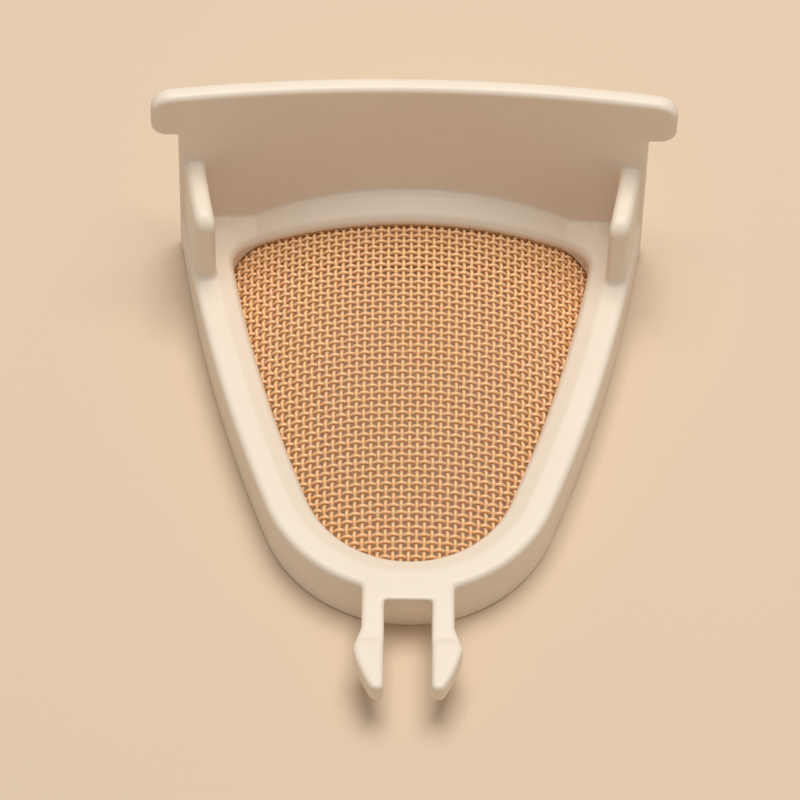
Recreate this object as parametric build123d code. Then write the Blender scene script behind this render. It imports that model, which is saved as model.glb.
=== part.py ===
"""Kettle limescale filter: a moulded spout frame with a domed woven-wire screen."""

import os
from math import asin, atan2, cos, degrees, radians, sin, sqrt, tan

from build123d import *

# Sizes in millimetres, angles in degrees.
# X runs across the filter, +Y from the clip to the wall, +Z up from the rim's underside.

# Plan of the rim
rim_length = 52.8
rear_width = 52.2
nose_radius = 16.75
side_radius = 180.0
rim_height = 7.2
rim_band = 2.65
rim_edge_round = 0.7
web_height = 5.0

# Collar that slopes from the rim's flat band down to the screen
collar_width = 2.2
collar_land = 1.1
collar_sink = 0.3
collar_slope = 28.0
lip_height = 1.25
lip_bevel = 0.5
corner_radius = 3.4

# Rear wall with its two wings
wall_height = 29.5
wall_thickness = 1.9
wall_bow_radius = 200.0
wing_reach = 2.95
wing_height = 6.9
wing_corner = 2.2
wing_throat_round = 0.45
wall_edge_bevel = 0.4

# Cheeks that stand on the rails and stay the wall
cheek_height = 17.6
cheek_depth = 10.0
cheek_setback = 0.4
cheek_corner = 1.8
cheek_foot_round = 0.9
cheek_edge_bevel = 0.5

# Snap clip at the nose: a gusset and two barbed prongs
clip_gap = 5.15
prong_width = 2.48
prong_thickness = 2.6
prong_reach = 12.2
gusset_reach = 1.0
barb_width = 0.95
barb_shoulder = 4.4
barb_point = 7.0
barb_round = 1.3
head_bulge = 0.25
head_start = 6.0
shank_relief = 0.25
tip_width = 1.3
tip_round = 0.55
prong_edge_bevel = 0.3

# Screen: a dome arched across the filter and falling to the nose, of crossing ridges with open gaps
screen_rear_height = 8.4
screen_crown_height = 9.3
screen_shoulder_height = 7.3
screen_crown_share = 0.78
screen_shoulder_share = 0.25
screen_arch_radius = 35.0
screen_thickness = 0.9
screen_embed = 0.8
ridge_width = 0.9
ridge_pitch = 3.9
ridge_sink = 0.12
ridge_overlap = 0.12

# Places worked out from the sizes
rear_half = rear_width / 2
wing_half = rear_half + wing_reach
wall_face_y = rim_length - wall_thickness
opening_inset = rim_band + collar_width
opening_rear = wall_face_y - collar_width - collar_land
collar_rise = lip_height + collar_width * tan(radians(collar_slope))
edge_height = rim_height - collar_rise
wall_back_radius = wall_bow_radius + wall_thickness
bow_centre_y = rim_length - wall_back_radius
nose_centre = Vector(0, nose_radius)
arch_axis_height = screen_rear_height - screen_arch_radius
arch_axis = Axis((0, 0, arch_axis_height), (0, 1, 0))
ridge_depth = (screen_thickness + ridge_overlap) / 2 - ridge_sink
past = wall_height
beyond_wall = rim_length + wall_thickness


def side_circle_centre():
    """Centre of the right side's large arc: it touches the nose arc and meets the wall's edge."""
    corner_y = bow_centre_y + sqrt(wall_back_radius**2 - rear_half**2)
    to_corner = Vector(rear_half, corner_y) - nose_centre
    reach = side_radius - nose_radius
    along = (reach**2 - side_radius**2 + to_corner.length**2) / (2 * to_corner.length)
    aside = sqrt(reach**2 - along**2)
    ahead = to_corner.normalized()
    left = Vector(-ahead.Y, ahead.X)
    return nose_centre + ahead * along + left * aside


side_centre = side_circle_centre()
side_start = (nose_centre - side_centre).normalized()
nose_axis = Axis(nose_centre, (0, 0, 1))
side_axis = Axis(side_centre, (0, 0, 1))


def side_arc(inset, y):
    """Right side's arc, moved in by the inset, from the nose to a given y."""
    radius = side_radius - inset
    start = side_centre + side_start * radius
    end = Vector(side_centre.X + sqrt(radius**2 - (y - side_centre.Y) ** 2), y)
    middle = side_centre + ((start + end) * 0.5 - side_centre).normalized() * radius
    return ThreePointArc(start, middle, end)


def flip(point):
    """Mirror image of a point across the filter's middle plane."""
    return Vector(-point.X, point.Y, point.Z)


def plan(inset):
    """Rounded-V plan of the rim, moved in by the inset and closed straight across behind the wall."""
    right = side_arc(inset, beyond_wall)
    start = right @ 0
    end = right @ 1
    nose = ThreePointArc(flip(start), Vector(0, inset), start)
    left = ThreePointArc(flip(end), flip(right @ 0.5), flip(start))
    return make_face([nose, right, Line(end, flip(end)), left])


def corner_centre(inset, rear_y, radius):
    """Centre of the rounded rear corner of an opening."""
    reach = side_radius - inset - radius
    y = rear_y - radius
    return Vector(side_centre.X + sqrt(reach**2 - (y - side_centre.Y) ** 2), y)


def opening(margin=0.0):
    """Plan of the screen's opening with rounded rear corners, grown outwards by a margin."""
    inset = opening_inset - margin
    rear_y = opening_rear + margin
    radius = corner_radius + margin
    centre = corner_centre(inset, rear_y, radius)
    touch = side_centre + (centre - side_centre).normalized() * (side_radius - inset)
    right = side_arc(inset, touch.Y)
    start = right @ 0
    middle = right @ 0.5
    top = Vector(centre.X, rear_y)
    bend = centre + ((touch - centre).normalized() + Vector(0, 1)).normalized() * radius
    corner = ThreePointArc(touch, bend, top)
    nose = ThreePointArc(flip(start), Vector(0, inset), start)
    far_corner = ThreePointArc(flip(top), flip(bend), flip(touch))
    left = ThreePointArc(flip(touch), flip(middle), flip(start))
    return make_face([nose, right, corner, Line(top, flip(top)), far_corner, left])


def upright(face, height):
    """Solid of a plan face, from the underside up."""
    return extrude(face, height, dir=(0, 0, 1))


def bow_disc(radius):
    """Disc whose edge is a bowed face of the wall."""
    return Pos(0, bow_centre_y) * Circle(radius)


def collar_profile():
    """Section of the collar: screen edge, bevelled lip, slope and a short flat land."""
    foot = Vector(0, lip_height)
    crest_point = Vector(collar_width, collar_rise)
    outside = collar_width + collar_land + collar_sink
    deep = -(screen_rear_height + rim_height)
    lines = Polyline((0, deep), foot, crest_point, (outside, collar_rise), (outside, deep), close=True)
    section = make_face(lines)
    lip = section.vertices().sort_by_distance(foot)[0]
    return chamfer(lip, lip_bevel)


def turn(section, axis, start, angle):
    """Solid of a section turned about an axis by an angle, from a start angle."""
    return revolve(section.rotate(axis, start), axis, angle)


def collar():
    """Collar of one section carried round the screen's edge: level nose and sides, corners, rear arch."""
    profile = collar_profile()
    nose_half = degrees(atan2(side_start.X, -side_start.Y))
    at_nose = Plane((0, opening_inset, edge_height), x_dir=(0, -1, 0), z_dir=(-1, 0, 0)) * profile
    nose = turn(at_nose, nose_axis, -nose_half, 2 * nose_half)

    centre = corner_centre(opening_inset, opening_rear, corner_radius)
    to_corner = (centre - side_centre).normalized()
    touch = side_centre + to_corner * (side_radius - opening_inset)
    side_turn = degrees(asin(side_start.cross(to_corner).Z))
    at_side = at_nose.rotate(nose_axis, nose_half)
    side = turn(at_side, side_axis, 0, side_turn)

    spread = asin(centre.X / screen_arch_radius)
    arch_height = arch_axis_height + screen_arch_radius
    at_arch = Plane((0, opening_rear, arch_height), x_dir=(0, 1, 0), z_dir=(1, 0, 0)) * profile
    arch = turn(at_arch, arch_axis, -degrees(spread), 2 * degrees(spread))

    foot = Vector(touch.X, touch.Y, edge_height)
    head = Vector(centre.X, opening_rear, arch_axis_height + screen_arch_radius * cos(spread))
    along_side = Vector(-to_corner.Y, to_corner.X)
    along_arch = Vector(-cos(spread), 0, sin(spread))
    path = Wire([Spline(foot, head, tangents=[along_side, along_arch])])
    corner = sweep(at_side.rotate(side_axis, side_turn), path, binormal=path.moved(Pos(0, 0, rim_height)))
    right = side + corner
    return nose + right + mirror(right, Plane.YZ) + arch


def rim():
    """Flat band with a rounded outer edge, the collar inside it and a web in the rear corners."""
    block = upright(plan(0) & bow_disc(wall_back_radius), rim_height)
    top_edges = block.edges().group_by(Axis.Z)[-1]
    block = fillet(top_edges.sort_by(Axis.Y)[:-1], rim_edge_round)
    inside = plan(rim_band) & bow_disc(wall_back_radius)
    band = block - upright(inside, past)
    web = upright(inside - opening(collar_sink), web_height)
    return band + web + (collar() & (block + upright(inside, past)))


def wall():
    """Bowed rear wall cut to its front view, with a rounded wing at each top corner."""
    strip = Pos(0, rim_length) * Rectangle(4 * wing_half, 2 * rim_length)
    strip = strip & bow_disc(wall_back_radius) - bow_disc(wall_bow_radius)
    wing_foot = wall_height - wing_height
    right = [(rear_half, 0), (rear_half, wing_foot), (wing_half, wing_foot), (wing_half, wall_height)]
    left = [(-x, z) for x, z in reversed(right)]
    front = make_face(Polyline(*right, *left, close=True))
    throats = [v for v in front.vertices() if v.Y > 0 and abs(v.X) < wing_half - wing_reach / 2]
    front = fillet(throats, wing_throat_round)
    tips = [v for v in front.vertices() if abs(v.X) > wing_half - wing_throat_round / 2]
    front = fillet(tips, wing_corner)
    plate = upright(strip, past) & extrude(Plane.XZ * front, -2 * rim_length)
    faces = plate.faces().filter_by(GeomType.CYLINDER).sort_by(SortBy.AREA)[-2:]
    edges = [e for f in faces for e in f.edges() if e.center().Z > rim_height]
    return chamfer(edges, wall_edge_bevel)


def cheek():
    """Right cheek on the rim's band, with a rounded front corner, a coved foot and eased edges."""
    front_y = wall_face_y - cheek_depth
    toe_y = front_y - 2 * cheek_foot_round
    side = make_face(
        Polyline(
            (toe_y, 0),
            (toe_y, rim_height),
            (front_y, rim_height),
            (front_y, cheek_height),
            (beyond_wall, cheek_height),
            (beyond_wall, 0),
            close=True,
        )
    )
    side = fillet(side.vertices().sort_by_distance((front_y, rim_height))[0], cheek_foot_round)
    side = fillet(side.vertices().sort_by_distance((front_y, cheek_height))[0], cheek_corner)
    band = (plan(cheek_setback) - plan(rim_band)) & bow_disc(wall_back_radius - wall_thickness / 2)
    right = upright(band, past) & extrude(Plane.YZ * side, wing_half)
    faces = right.faces().sort_by(SortBy.AREA)[-2:]
    edges = [e for f in faces for e in f.edges() if e.bounding_box().min.Z > rim_height / 2]
    return chamfer(edges, cheek_edge_bevel)


def prong():
    """Right prong of the clip: a thinned shank and a barbed head that tapers to its tip."""
    inside = clip_gap / 2
    outside = inside + prong_width
    shoulder = (outside, -barb_shoulder)
    barb = (outside + barb_width, -barb_point)
    tip = (inside + tip_width, -prong_reach)
    inner_tip = (inside, -prong_reach)
    shank = Polyline(inner_tip, (inside, rim_band), (outside, rim_band), shoulder, barb)
    outline = make_face([*shank.edges(), SagittaArc(barb, tip, head_bulge), Line(tip, inner_tip)])
    outline = fillet(outline.vertices().group_by(Axis.Y)[0], tip_round)
    for corner in (barb, shoulder):
        outline = fillet(outline.vertices().sort_by_distance(corner)[0], barb_round)
    blank = Pos(0, 0, rim_height - prong_thickness) * upright(outline, prong_thickness)
    top = blank.faces().sort_by(Axis.Z)[-1]
    edges = [e for e in top.edges() if e.center().Y < rim_band - prong_edge_bevel]
    blank = chamfer(edges, prong_edge_bevel)
    low = rim_height - shank_relief
    relief = make_face(
        Polyline(
            (-gusset_reach, rim_height),
            (-head_start, low),
            (-head_start - shank_relief, rim_height),
            close=True,
        )
    )
    return blank - extrude(Plane.YZ * relief, 2 * wing_half)


def clip():
    """Snap clip: a gusset that leans out from the nose and carries two barbed prongs."""
    right = prong()
    half_width = (clip_gap + prong_width) / 2
    foot_y = nose_radius - sqrt(nose_radius**2 - (clip_gap / 2) ** 2)
    side = Polyline((-gusset_reach, rim_height), (rim_band, rim_height), (rim_band, 0), (foot_y, 0), close=True)
    gusset = extrude(Plane.YZ * make_face(side), half_width, both=True)
    return gusset + right + mirror(right, Plane.YZ)


def crest():
    """Crest of the dome along the filter's middle, as a curve of y and height."""
    run = opening_rear - opening_inset
    points = [
        (opening_inset, edge_height),
        (opening_inset + screen_shoulder_share * run, screen_shoulder_height),
        (opening_inset + screen_crown_share * run, screen_crown_height),
        (opening_rear, screen_rear_height),
    ]
    return Spline([Vector(y, z) for y, z in points])


def crest_points():
    """Points along the crest: its two ends and, between them, one for each ridge across."""
    line = crest()
    count = int(line.length / ridge_pitch)
    steps = [(k - (count - 1) / 2) * ridge_pitch for k in range(count)]
    return [line @ share for share in (0, *(0.5 + step / line.length for step in steps), 1)]


def crest_strip(top, bottom):
    """Section along the dome's middle between two depths, carried straight on past the opening."""
    points = crest_points()
    ends = 2 * screen_embed
    ahead = points[0] + (points[0] - points[1]).normalized() * ends
    behind = points[-1] + (points[-1] - points[-2]).normalized() * ends
    line = [ahead, *points, behind]
    upper = [point - Vector(0, top) for point in line]
    lower = [point - Vector(0, bottom) for point in reversed(line)]
    return Plane.YZ * make_face(Polyline(*upper, *lower, close=True))


def screen_blank():
    """Unpierced screen out to its moulded-in edge, which also makes its seat in the frame."""
    half_turn = degrees(asin(rear_half / screen_arch_radius))
    dome = turn(crest_strip(0, screen_thickness), arch_axis, -half_turn, 2 * half_turn)
    return dome & upright(opening(screen_embed), past)


def ridge_angles():
    """Angles about the arch's axis at which the ridges along the filter stand."""
    count = int(rear_half / ridge_pitch) + 1
    return [k * ridge_pitch / screen_arch_radius for k in range(-count, count + 1)]


def warps():
    """Ridges along the filter, straight from one crossing to the next."""
    strip = crest_strip(ridge_sink, ridge_sink + ridge_depth)
    ridge = extrude(strip, ridge_width / 2, both=True)
    return [ridge.rotate(arch_axis, degrees(angle)) for angle in ridge_angles()]


def wefts():
    """Ridges across the filter, bent over the arch under each crossing."""
    ridges = []
    for place in crest_points()[1:-1]:
        low = place.Y - arch_axis_height - screen_thickness + ridge_sink
        high = low + ridge_depth
        upper = [(high * sin(angle), high * cos(angle)) for angle in ridge_angles()]
        lower = [(low * sin(angle), low * cos(angle)) for angle in reversed(ridge_angles())]
        plane = Plane((0, place.X, arch_axis_height), x_dir=(1, 0, 0), z_dir=(0, -1, 0))
        strip = plane * make_face(Polyline(*upper, *lower, close=True))
        ridges.append(extrude(strip, ridge_width / 2, both=True))
    return ridges


def screen():
    """Screen of crossing ridges, held in a plain moulded-in edge."""
    gap = upright(opening(), past)
    return (screen_blank() - gap) + ((Part() + warps() + wefts()) & gap)


def frame():
    """One moulding: rim, wall, cheeks and clip, grooved for the screen's edge."""
    right = cheek()
    return rim() + wall() + right + mirror(right, Plane.YZ) + clip() - screen_blank()


if __name__ == "__main__":
    os.makedirs("parts", exist_ok=True)
    centred = Pos(0, -(rim_length - prong_reach) / 2)
    export_step(centred * frame(), "parts/filter_frame.step")
    export_step(centred * screen(), "parts/mesh_screen.step")
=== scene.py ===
"""Looks of the kettle limescale filter: satin moulded frame and a woven wire screen."""

from bisect import bisect
from itertools import accumulate
from math import asin, cos, hypot, pi, radians, sin, sqrt

import bmesh
import bpy
from mathutils import Matrix, Vector
from mathutils.bvhtree import BVHTree


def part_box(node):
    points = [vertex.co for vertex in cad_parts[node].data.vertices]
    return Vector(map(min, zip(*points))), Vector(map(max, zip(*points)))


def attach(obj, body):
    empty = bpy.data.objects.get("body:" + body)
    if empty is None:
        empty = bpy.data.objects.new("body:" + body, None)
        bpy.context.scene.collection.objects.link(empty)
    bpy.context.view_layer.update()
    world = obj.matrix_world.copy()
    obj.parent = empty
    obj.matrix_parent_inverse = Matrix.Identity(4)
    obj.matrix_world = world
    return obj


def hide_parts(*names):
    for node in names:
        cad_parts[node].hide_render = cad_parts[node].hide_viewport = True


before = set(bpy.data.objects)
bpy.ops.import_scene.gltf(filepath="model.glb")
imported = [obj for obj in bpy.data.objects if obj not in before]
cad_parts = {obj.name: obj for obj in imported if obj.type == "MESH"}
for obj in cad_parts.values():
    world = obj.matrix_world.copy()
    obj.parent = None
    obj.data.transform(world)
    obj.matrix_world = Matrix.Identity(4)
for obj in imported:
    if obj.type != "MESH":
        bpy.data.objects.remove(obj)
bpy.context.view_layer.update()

MM = 0.001

# Woven screen
WEAVE_PITCH = 0.85 * MM
WIRE_DIAMETER = 0.41 * MM
WARP_LIFT = 0.22 * MM
WEFT_LIFT = 0.19 * MM
WIRE_SIDES = 8
STEPS_PER_PITCH = 6
WEAVE_DEPTH = 0.33 * MM
WIRE_END_INSET = 0.15 * MM
ARCH_AXIS_HEIGHT = -26.6 * MM
PROBE_STEP = 0.05 * MM

# Softened moulding
SOFT_STEP = 0.11 * MM
SOFT_ROUNDS = 42
SOFT_FACTOR = 0.5
FRAME_TRIANGLES = 190000

# Rim's upper edge, from behind the prongs to the cheeks
RIM_TOP = 7.2 * MM
RIM_ROUND = 0.7 * MM
RIM_FRONT = -17 * MM
RIM_REAR = 19 * MM
UPRIGHT_SLOPE = 0.1

# Blocks that fill the pocket of a rear corner, each by its low and high corner
POCKETS = (
    (Vector((20.4, 28.3, 4.5)) * MM, Vector((24.0, 30.3, 6.6)) * MM),
    (Vector((22.2, 24.5, 4.5)) * MM, Vector((24.0, 28.6, 6.6)) * MM),
)

# Camera of the photograph
IMAGE_PIXELS = 800
SENSOR_WIDTH = 36.0
FOCAL_PIXELS = 6071.5
CAMERA_DISTANCE = 671.6 * MM
CAMERA_ELEVATION = radians(56.24)
CAMERA_YAW = radians(-0.874)
CAMERA_ROLL = radians(1.552)
AIM_POINT = Vector((0, 6.7 * MM, 8.0 * MM))
AIM_PIXEL = (410.2, 380.0)

# Tones of the pieces
PLASTIC_DEEP = (0.87, 0.76, 0.63, 1)
PLASTIC_PALE = (0.91, 0.81, 0.69, 1)
# Wire tones are the cream wire pushed orange by a painted reflection of a warm surface under the weave
WIRE_DEEP_REFLECTED_ORANGE = (0.94, 0.56, 0.28, 1)
WIRE_PALE_REFLECTED_ORANGE = (0.98, 0.66, 0.37, 1)

# Stage; the floor lies just clear of the rim's flat underside
FLOOR_SIZE = 3.0
FLOOR_HEIGHT = -0.02 * MM
FLOOR_COLOUR = (0.78, 0.62, 0.46, 1)
WORLD_COLOUR = (1.0, 0.96, 0.91, 1)
WORLD_STRENGTH = 0.32
LAMP_PLACE = Vector((0.03, 0.10, 0.595))
LAMP_SIZE = 0.32
LAMP_POWER = 2.70
LAMP_COLOUR = (1.0, 0.96, 0.91)


class Num:
    """A number socket of a material, usable in Python expressions: each operation adds a Math node."""

    def __init__(self, finish, socket):
        self.finish = finish
        self.socket = socket

    def math(self, operation, first, second):
        node = self.finish.node("ShaderNodeMath", {"operation": operation}, {0: first, 1: second})
        return Num(self.finish, node.outputs[0])

    def __add__(self, other):
        return self.math("ADD", self, other)

    def __radd__(self, other):
        return self.math("ADD", other, self)

    def __sub__(self, other):
        return self.math("SUBTRACT", self, other)

    def __rsub__(self, other):
        return self.math("SUBTRACT", other, self)

    def __mul__(self, other):
        return self.math("MULTIPLY", self, other)

    def __rmul__(self, other):
        return self.math("MULTIPLY", other, self)


class Finish:
    """One material's node tree, with its Principled shader as surface."""

    def __init__(self, name):
        self.material = bpy.data.materials.new(name)
        self.material.use_nodes = True
        self.tree = self.material.node_tree
        self.surface = self.tree.nodes["Principled BSDF"]

    def node(self, kind, settings=None, inputs=None):
        """Adds a node: its settings first, then its sockets' values or links."""
        node = self.tree.nodes.new(kind)
        for name, value in (settings or {}).items():
            setattr(node, name, value)
        for name, value in (inputs or {}).items():
            self.feed(node.inputs[name], value)
        return node

    def feed(self, socket, value):
        """Links a socket or expression to an input, or sets its value."""
        if isinstance(value, Num):
            value = value.socket
        if isinstance(value, bpy.types.NodeSocket):
            self.tree.links.new(value, socket)
        else:
            socket.default_value = value

    def shade(self, **sockets):
        """Feeds the shader's own sockets, named with underscores for spaces."""
        for name, value in sockets.items():
            self.feed(self.surface.inputs[name.replace("_", " ")], value)

    def place(self):
        return self.node("ShaderNodeTexCoord").outputs["Object"]

    def noise(self, scale, detail=2.0, roughness=0.5):
        inputs = {"Vector": self.place(), "Scale": scale, "Detail": detail, "Roughness": roughness}
        return Num(self, self.node("ShaderNodeTexNoise", {}, inputs).outputs["Fac"])

    def blend(self, share, first, second):
        """Colour mixed from two by a share."""
        inputs = {"Factor": share, 6: first, 7: second}
        return self.node("ShaderNodeMix", {"data_type": "RGBA"}, inputs).outputs[2]

    def bump(self, height, strength, distance):
        inputs = {"Height": height, "Strength": strength, "Distance": distance}
        return self.node("ShaderNodeBump", {}, inputs).outputs["Normal"]


def moulded_plastic():
    """Satin white plastic with soft clouding and a fine moulded grain."""
    finish = Finish("moulded_plastic")
    cloud = finish.noise(90.0, 3.0)
    grain = finish.noise(5200.0, 2.0)
    flow = finish.noise(260.0, 2.0)
    colour = finish.blend(cloud, PLASTIC_DEEP, PLASTIC_PALE)
    finish.shade(
        Base_Color=colour,
        Roughness=0.36 + 0.10 * flow + 0.06 * grain,
        Normal=finish.bump(0.7 * grain + 0.3 * flow, 0.12, 0.05 * MM),
        IOR=1.49,
        Subsurface_Weight=0.12,
        Subsurface_Radius=(1.0, 0.8, 0.6),
        Subsurface_Scale=1.2 * MM,
    )
    return finish.material


def screen_wire():
    """Cream wire whose orange colour is partly a painted reflection of a warm orange surface, with
    uneven polish.
    """
    finish = Finish("screen_wire")
    tone = finish.noise(700.0, 2.0)
    polish = finish.noise(2600.0, 2.0)
    # Random tone between two wire colours, both carrying the painted orange reflection
    colour = finish.blend(tone, WIRE_DEEP_REFLECTED_ORANGE, WIRE_PALE_REFLECTED_ORANGE)
    finish.shade(
        Base_Color=colour,
        Metallic=0.05 + 0.10 * polish,
        Roughness=0.30 + 0.16 * polish,
        Normal=finish.bump(polish, 0.15, 0.02 * MM),
    )
    return finish.material


def floor_finish():
    """Plain pale surface with a barely uneven sheen."""
    finish = Finish("pale_floor")
    cloud = finish.noise(14.0, 2.0)
    finish.shade(
        Base_Color=FLOOR_COLOUR,
        Roughness=0.72 + 0.08 * cloud,
    )
    return finish.material


def tree_of(mesh):
    """Search tree of a mesh's faces."""
    corners = [v.co.copy() for v in mesh.vertices]
    return BVHTree.FromPolygons(corners, [tuple(p.vertices) for p in mesh.polygons])


class Probe:
    """Reads the screen's solid from above: its dome's crest and its outline in plan."""

    def __init__(self, node):
        self.tree = tree_of(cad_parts[node].data)
        self.low, self.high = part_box(node)

    def height(self, x, y):
        hit = self.tree.ray_cast(Vector((x, y, self.high.z + MM)), Vector((0, 0, -1)))[0]
        return None if hit is None else hit.z

    def reach(self, point, start, end):
        """Lowest and highest place between start and end where point(place) lies on the solid."""
        count = int((end - start) / PROBE_STEP)
        places = [start + (end - start) * k / count for k in range(count + 1)]
        inside = [p for p in places if self.height(*point(p)) is not None]
        return (inside[0], inside[-1]) if len(inside) > 1 else None


def read_off(value, known, wanted):
    """Value read off a rising table by straight interpolation."""
    k = min(max(bisect(known, value), 1), len(known) - 1)
    share = (value - known[k - 1]) / (known[k] - known[k - 1])
    return wanted[k - 1] + (wanted[k] - wanted[k - 1]) * share


class Dome:
    """Middle surface of the weave: the solid's crest turned about the arch's axis."""

    def __init__(self, probe):
        count = int((probe.high.y - probe.low.y) / PROBE_STEP)
        step = (probe.high.y - probe.low.y) / count
        self.places = [probe.low.y + step * (k + 0.5) for k in range(count)]
        self.crest = [probe.height(0, y) for y in self.places]
        self.radius = max(self.crest) - ARCH_AXIS_HEIGHT - WEAVE_DEPTH
        rises = [self.crest[k + 1] - self.crest[k] for k in range(count - 1)]
        lengths = list(accumulate((hypot(step, rise) for rise in rises), initial=0.0))
        self.lengths = [length - lengths[-1] / 2 for length in lengths]

    def point(self, x, y, lift):
        """Point over plan place x, y, lifted off the middle surface along its normal."""
        radius = read_off(y, self.places, self.crest) - ARCH_AXIS_HEIGHT - WEAVE_DEPTH
        rise = sqrt(radius**2 - x**2)
        scale = (radius + lift) / radius
        return Vector((x * scale, y, ARCH_AXIS_HEIGHT + rise * scale))

    def length_to(self, y):
        """Distance along the crest from its middle to a place."""
        return read_off(y, self.places, self.lengths)

    def place_at(self, length):
        """Place at a distance along the crest from its middle."""
        return read_off(length, self.lengths, self.places)

    def arc_to(self, x):
        """Distance round the arch from its middle to a place."""
        return self.radius * asin(x / self.radius)

    def side_at(self, arc):
        """Place at a distance round the arch from its middle."""
        return self.radius * sin(arc / self.radius)


def tube(line, radius, vertices, faces):
    """Adds a round wire along a line of points to the lists of vertices and faces."""
    first = len(vertices)
    count = len(line)
    for k, point in enumerate(line):
        ahead = (line[min(k + 1, count - 1)] - line[max(k - 1, 0)]).normalized()
        side = ahead.cross(Vector((0, 0, 1))).normalized()
        top = side.cross(ahead)
        for s in range(WIRE_SIDES):
            angle = 2 * pi * s / WIRE_SIDES
            vertices.append(point + side * (radius * cos(angle)) + top * (radius * sin(angle)))
    for k in range(count - 1):
        a = first + k * WIRE_SIDES
        b = a + WIRE_SIDES
        for s in range(WIRE_SIDES):
            t = (s + 1) % WIRE_SIDES
            faces.append((a + s, a + t, b + t, b + s))
    faces.append(tuple(first + s for s in reversed(range(WIRE_SIDES))))
    last = first + (count - 1) * WIRE_SIDES
    faces.append(tuple(last + s for s in range(WIRE_SIDES)))


def places_along(span):
    """Places along a wire's span, clear of its ends, close enough to draw its waves."""
    first = span[0] + WIRE_END_INSET
    length = span[1] - WIRE_END_INSET - first
    count = max(2, int(length / WEAVE_PITCH * STEPS_PER_PITCH))
    return [first + length * k / count for k in range(count + 1)]


def wave(row, distance, lift):
    """Height of a wire at a distance along it: over one crossing wire and under the next."""
    return (-1) ** row * cos(pi * distance / WEAVE_PITCH) * lift


def warp_lines(probe, dome):
    """Wires along the filter, straight in plan."""
    count = int(dome.arc_to(probe.high.x) / WEAVE_PITCH)
    for row in range(-count, count + 1):
        x = dome.side_at(row * WEAVE_PITCH)
        span = probe.reach(lambda y: (x, y), probe.low.y, probe.high.y)
        if span:
            yield [dome.point(x, y, wave(row, dome.length_to(y), WARP_LIFT)) for y in places_along(span)]


def weft_lines(probe, dome):
    """Wires across the filter, bent over its arch, which take the other side at each crossing."""
    count = int(dome.length_to(probe.high.y) / WEAVE_PITCH)
    for row in range(-count, count + 1):
        y = dome.place_at(row * WEAVE_PITCH)
        span = probe.reach(lambda x: (x, y), probe.low.x, probe.high.x)
        if span:
            yield [dome.point(x, y, wave(row, dome.arc_to(x), -WEFT_LIFT)) for x in places_along(span)]


def lay_wires(name, lines, finish):
    """One set of wires, as a piece that stands for the screen's solid."""
    vertices = []
    faces = []
    for line in lines:
        tube(line, WIRE_DIAMETER / 2, vertices, faces)
    mesh = bpy.data.meshes.new(name)
    mesh.from_pydata([tuple(v) for v in vertices], [], faces)
    mesh.shade_smooth()
    mesh.materials.append(finish)
    piece = bpy.data.objects.new(name, mesh)
    bpy.context.scene.collection.objects.link(piece)
    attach(piece, "root")
    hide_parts("mesh_screen")


def weave_screen():
    """Woven screen in place of the plain ridged one."""
    probe = Probe("mesh_screen")
    dome = Dome(probe)
    finish = screen_wire()
    lay_wires("warp_wires", warp_lines(probe, dome), finish)
    lay_wires("weft_wires", weft_lines(probe, dome), finish)


def modified(mesh, changes):
    """New mesh after modifiers, each given by its kind and settings."""
    holder = bpy.data.objects.new("holder", mesh)
    bpy.context.scene.collection.objects.link(holder)
    for kind, settings in changes:
        modifier = holder.modifiers.new(kind, kind)
        for name, value in settings.items():
            setattr(modifier, name, value)
    graph = bpy.context.evaluated_depsgraph_get()
    result = bpy.data.meshes.new_from_object(holder.evaluated_get(graph))
    bpy.data.objects.remove(holder)
    return result


def fill_pockets(mesh):
    """Fills the pocket of each rear corner, between the collar, the cheek and the wall."""
    blocks = bmesh.new()
    blocks.from_mesh(mesh)
    for low, high in POCKETS:
        for side in (-1, 1):
            middle = (low + high) / 2
            middle.x *= side
            place = Matrix.Translation(middle) @ Matrix.Diagonal((*(high - low), 1))
            bmesh.ops.create_cube(blocks, size=1.0, matrix=place)
    blocks.to_mesh(mesh)
    blocks.free()


def round_rim(mesh, tree):
    """Puts the rim's upper edge on its true round, which the solid's facets cut across in places."""
    base = RIM_TOP - RIM_ROUND
    for vertex in mesh.vertices:
        x, y, z = vertex.co
        if z < base or z > RIM_TOP + SOFT_STEP or not RIM_FRONT < y < RIM_REAR:
            continue
        level = Vector((x, y, RIM_TOP / 2))
        foot, outward = tree.find_nearest(level)[:2]
        out = RIM_ROUND - (foot - level).dot(outward)
        outside = outward.dot(Vector((x, y, 0))) > 0
        if out > 0 and outside and abs(outward.z) < UPRIGHT_SLOPE:
            grow = RIM_ROUND / hypot(out, z - base) - 1
            vertex.co += outward * out * grow + Vector((0, 0, (z - base) * grow))


def soften_frame():
    """Frame with the small soft edges and coves of a moulding, in place of the sharper solid."""
    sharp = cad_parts["filter_frame"].data.copy()
    fill_pockets(sharp)
    even = ("REMESH", {"mode": "VOXEL", "voxel_size": SOFT_STEP})
    smooth = ("SMOOTH", {"factor": SOFT_FACTOR, "iterations": SOFT_ROUNDS})
    fine = modified(sharp, [even])
    round_rim(fine, tree_of(sharp))
    fine = modified(fine, [smooth])
    count = sum(len(face.vertices) - 2 for face in fine.polygons)
    soft = modified(fine, [("DECIMATE", {"ratio": min(1.0, FRAME_TRIANGLES / count)})])
    soft.name = "moulded_frame"
    soft.materials.clear()
    soft.materials.append(moulded_plastic())
    soft.shade_smooth()
    piece = bpy.data.objects.new("moulded_frame", soft)
    bpy.context.scene.collection.objects.link(piece)
    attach(piece, "root")
    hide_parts("filter_frame")


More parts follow.
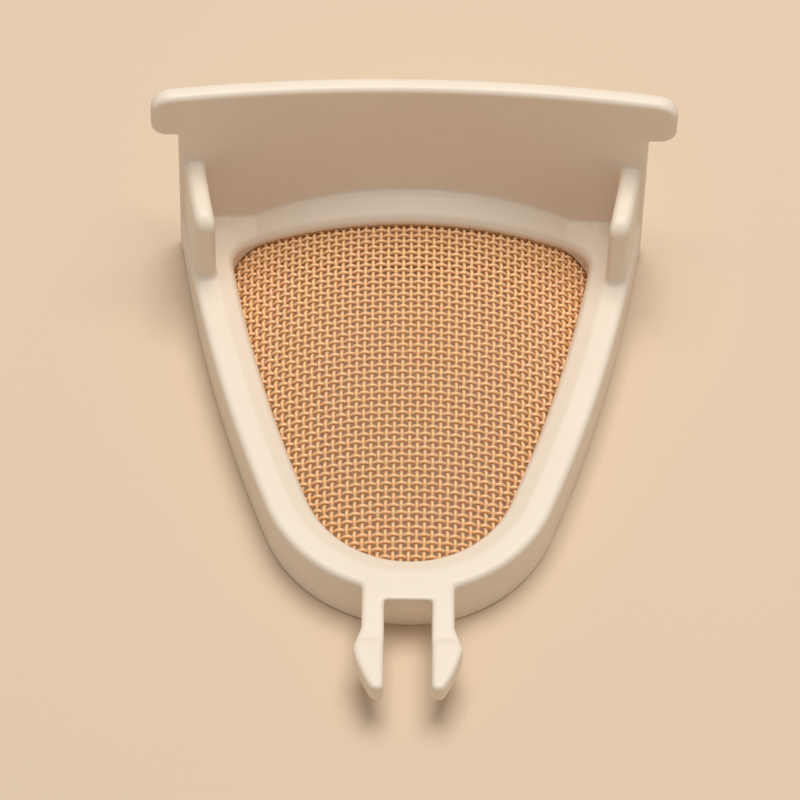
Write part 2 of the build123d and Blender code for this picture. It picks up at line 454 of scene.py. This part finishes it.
def lay_floor():
    """Plain pale floor under the rim."""
    half = FLOOR_SIZE / 2
    plan = ((-half, -half), (half, -half), (half, half), (-half, half))
    mesh = bpy.data.meshes.new("floor")
    mesh.from_pydata([(x, y, FLOOR_HEIGHT) for x, y in plan], [], [(0, 1, 2, 3)])
    floor = bpy.data.objects.new("floor", mesh)
    bpy.context.scene.collection.objects.link(floor)
    floor.data.materials.append(floor_finish())


def hang_lamp():
    """Square soft light overhead and a little behind, turned to the filter."""
    lamp = bpy.data.lights.new("overhead", "AREA")
    lamp.shape = "SQUARE"
    lamp.size = LAMP_SIZE
    lamp.energy = LAMP_POWER
    lamp.color = LAMP_COLOUR
    holder = bpy.data.objects.new("overhead", lamp)
    holder.location = LAMP_PLACE
    holder.rotation_euler = (AIM_POINT - LAMP_PLACE).to_track_quat("-Z", "Y").to_euler()
    bpy.context.scene.collection.objects.link(holder)


def light_stage():
    """Even sky and one soft lamp."""
    world = bpy.data.worlds.new("studio")
    world.use_nodes = True
    sky = world.node_tree.nodes["Background"]
    sky.inputs["Color"].default_value = WORLD_COLOUR
    sky.inputs["Strength"].default_value = WORLD_STRENGTH
    bpy.context.scene.world = world
    hang_lamp()


def aim_camera():
    """Camera at the photograph's view, with its small yaw, roll and off-centre aim."""
    right = Vector((cos(CAMERA_YAW), sin(CAMERA_YAW), 0))
    level = Vector((-sin(CAMERA_YAW), cos(CAMERA_YAW), 0))
    ahead = level * cos(CAMERA_ELEVATION) - Vector((0, 0, sin(CAMERA_ELEVATION)))
    up = level * sin(CAMERA_ELEVATION) + Vector((0, 0, cos(CAMERA_ELEVATION)))
    rolled_right = right * cos(CAMERA_ROLL) + up * sin(CAMERA_ROLL)
    rolled_up = up * cos(CAMERA_ROLL) - right * sin(CAMERA_ROLL)
    lens = bpy.data.cameras.new("photo_view")
    lens.sensor_width = SENSOR_WIDTH
    lens.lens = FOCAL_PIXELS * SENSOR_WIDTH / IMAGE_PIXELS
    lens.shift_x = (IMAGE_PIXELS / 2 - AIM_PIXEL[0]) / IMAGE_PIXELS
    lens.shift_y = (AIM_PIXEL[1] - IMAGE_PIXELS / 2) / IMAGE_PIXELS
    lens.clip_start = 10 * MM
    camera = bpy.data.objects.new("photo_view", lens)
    turn = Matrix((rolled_right, rolled_up, -ahead)).transposed().to_4x4()
    camera.matrix_world = Matrix.Translation(AIM_POINT - ahead * CAMERA_DISTANCE) @ turn
    bpy.context.scene.collection.objects.link(camera)
    bpy.context.scene.camera = camera


soften_frame()
weave_screen()
lay_floor()
light_stage()
aim_camera()
bpy.context.scene.view_settings.view_transform = "Standard"
